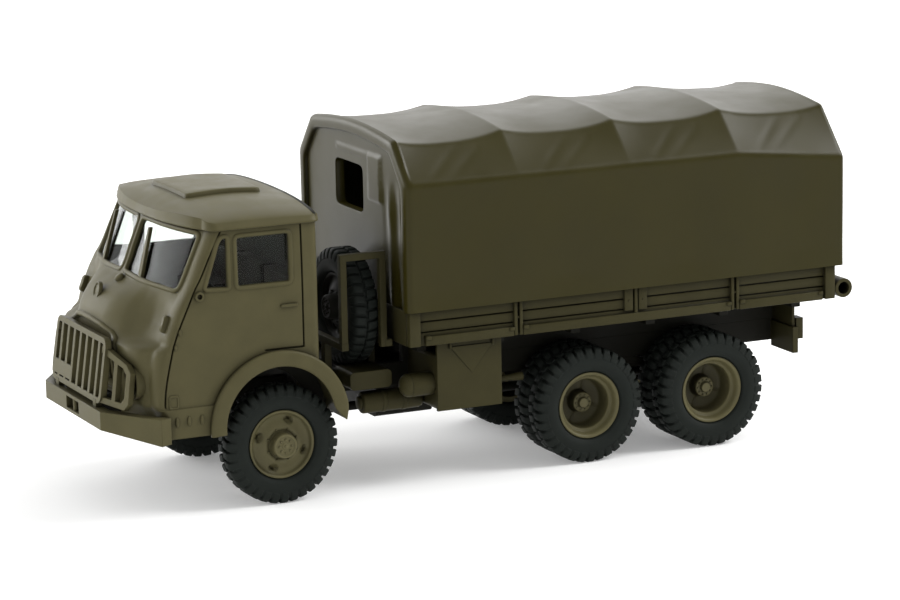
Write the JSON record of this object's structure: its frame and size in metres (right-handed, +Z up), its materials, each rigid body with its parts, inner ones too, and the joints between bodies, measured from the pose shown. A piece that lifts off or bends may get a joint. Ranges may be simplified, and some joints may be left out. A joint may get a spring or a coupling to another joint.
{
  "type": "scale model military cargo truck",
  "caption": "small-scale plastic model of a cab-over military cargo truck with a covered load bed, spare wheel behind the cab and pressed wheelsets that roll",
  "frame": {"origin": "on the ground under the middle of the model's overall box", "axes": "+X forward, +Y to the model's left, +Z up"},
  "size_m": [0.079, 0.0276, 0.0352],
  "materials": {
    "olive_plastic": "satin moulded olive plastic",
    "cover_plastic": "satin moulded olive plastic",
    "dark_plastic": "matt moulded dark olive plastic",
    "tyre": "matt soft black plastic",
    "clear_plastic": "clear polished plastic",
    "axle_steel": "plain steel wire"
  },
  "bodies": {
    "truck": {"air_tank": "olive_plastic", "battery_box": "olive_plastic", "bed_deck": "olive_plastic", "bogie_shaft": "dark_plastic", "cab_interior": "dark_plastic", "cab_shell": "olive_plastic", "cover": "cover_plastic", "drive_train": "dark_plastic", "exhaust_pipe": "olive_plastic", "frame_cross_members": "dark_plastic", "frame_rail_left": "dark_plastic", "frame_rail_right": "dark_plastic", "front_axle": "dark_plastic", "front_bumper": "olive_plastic", "front_mudguards": "olive_plastic", "fuel_tank": "olive_plastic", "grille_guard": "olive_plastic", "headboard": "olive_plastic", "headlamp_lenses": "clear_plastic", "headlamps": "olive_plastic", "mirror_sockets": "olive_plastic", "radiator_grille": "olive_plastic", "rear_bogie": "dark_plastic", "side_board_left": "olive_plastic", "side_board_right": "olive_plastic", "side_glass": "clear_plastic", "spare_carrier": "olive_plastic", "spare_rim": "olive_plastic", "spare_tyre": "tyre", "steering_wheel": "dark_plastic", "step_box": "olive_plastic", "stowage_box": "olive_plastic", "tail_plate_left": "olive_plastic", "tail_plate_right": "olive_plastic", "tail_tube": "olive_plastic", "tailboard": "olive_plastic", "tow_jaw": "olive_plastic", "windscreen": "clear_plastic", "wipers": "olive_plastic"},
    "front_wheelset": {"front_pin": "axle_steel", "front_rim_left": "olive_plastic", "front_rim_right": "olive_plastic", "front_tyre_left": "tyre", "front_tyre_right": "tyre"},
    "rear_wheelset_1": {"rear_1_pin": "axle_steel", "rear_1_rim_left": "olive_plastic", "rear_1_rim_right": "olive_plastic", "rear_1_tyre_left": "tyre", "rear_1_tyre_right": "tyre"},
    "rear_wheelset_2": {"rear_2_pin": "axle_steel", "rear_2_rim_left": "olive_plastic", "rear_2_rim_right": "olive_plastic", "rear_2_tyre_left": "tyre", "rear_2_tyre_right": "tyre"}
  },
  "joints": [
    {"name": "front_wheelset_roll", "type": "hinge", "parent": "truck", "child": "front_wheelset", "pos_m": [0.02262, 0, 0.00578], "axis": [0, 1, 0], "continuous": true},
    {"name": "rear_wheelset_1_roll", "type": "hinge", "parent": "truck", "child": "rear_wheelset_1", "pos_m": [-0.01027, 0, 0.00578], "axis": [0, 1, 0], "continuous": true},
    {"name": "rear_wheelset_2_roll", "type": "hinge", "parent": "truck", "child": "rear_wheelset_2", "pos_m": [-0.02407, 0, 0.00578], "axis": [0, 1, 0], "continuous": true}
  ]
}
